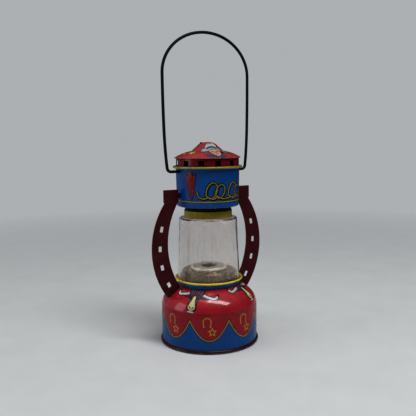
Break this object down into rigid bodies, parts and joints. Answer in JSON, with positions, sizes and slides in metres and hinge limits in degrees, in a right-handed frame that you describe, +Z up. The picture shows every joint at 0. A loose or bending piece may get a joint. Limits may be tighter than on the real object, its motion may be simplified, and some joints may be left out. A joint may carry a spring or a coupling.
{
  "type": "toy lantern",
  "caption": "Battery toy lantern in printed tin with a clear globe, vented drum top, horseshoe side arms and a swinging wire bail.",
  "frame": {"origin": "centre of the foot, on the plane it stands on", "axes": "+Z up, side arms and bail pivots along X, front towards -Y, switch at +Y"},
  "size_m": [0.125, 0.1002, 0.3078],
  "materials": {
    "red_tin": "glossy printed tin, worn",
    "blue_tin": "glossy printed tin, worn",
    "yellow_tin": "glossy printed tin, worn",
    "black_tin": "black lacquer",
    "maroon_steel": "dark maroon enamel",
    "gold_tin": "aged lacquered tin",
    "bare_tin": "bright tin plate, stained",
    "black_wire": "black enamelled wire",
    "clear_plastic": "clear, slightly clouded",
    "brass": "tarnished",
    "spring_steel": "bright drawn wire",
    "fibre_board": "matte vulcanised fibre",
    "bulb_glass": "clear glass",
    "solder": "dull solder",
    "cell_jacket": "printed metal jacket",
    "black_plastic": "moulded black"
  },
  "bodies": {
    "lantern": {"base_shell": "red_tin", "globe_seat": "blue_tin", "lamp_plate": "gold_tin", "globe": "clear_plastic", "globe_collar": "yellow_tin", "neck_sleeve": "black_tin", "drum_shell": "blue_tin", "vent_ring": "red_tin", "vent_baffle": "black_tin", "chimney_cap": "red_tin", "side_arm_right": "maroon_steel", "side_arm_left": "maroon_steel", "socket_bracket": "bare_tin", "lamp_socket": "brass", "socket_washer": "fibre_board", "centre_contact": "brass", "socket_rivet_1": "brass", "socket_rivet_2": "brass", "bracket_rivet_left": "brass", "bracket_rivet_right": "brass", "switch_plate": "fibre_board", "switch_feed_strip": "brass", "switch_earth_strip": "brass", "switch_rivet_left": "brass", "switch_rivet_right": "brass"},
    "bail": {"carry_handle": "black_wire"},
    "cover": {"bottom_cover": "bare_tin", "battery_cradle": "bare_tin", "cradle_end_right": "fibre_board", "cradle_end_left": "fibre_board", "battery_cell_rear": "cell_jacket", "battery_cell_front": "cell_jacket", "contact_spring_front": "spring_steel", "contact_spring_rear": "spring_steel", "bridge_strip": "brass", "supply_contact": "brass", "return_contact": "brass"},
    "bulb": {"bulb_glass": "bulb_glass", "bulb_cap": "brass", "bulb_tip": "solder"},
    "switch": {"switch_wiper": "brass", "switch_knob": "black_plastic"}
  },
  "joints": [
    {"name": "bail_swing", "type": "hinge", "parent": "lantern", "child": "bail", "pos_m": [0, 0, 0.1727], "axis": [1, 0, 0], "range_deg": [-155, 155]},
    {"name": "cover_removal", "type": "slide", "parent": "lantern", "child": "cover", "axis": [0, 0, -1], "range_m": [0, 0.06]},
    {"name": "bulb_turn", "type": "hinge", "parent": "lantern", "child": "bulb", "pos_m": [0, 0, 0.06], "axis": [0, 0, 1], "range_deg": [0, 1260]},
    {"name": "switch_slide", "type": "slide", "parent": "lantern", "child": "switch", "axis": [-1, 0, 0], "range_m": [0, 0.004]}
  ]
}
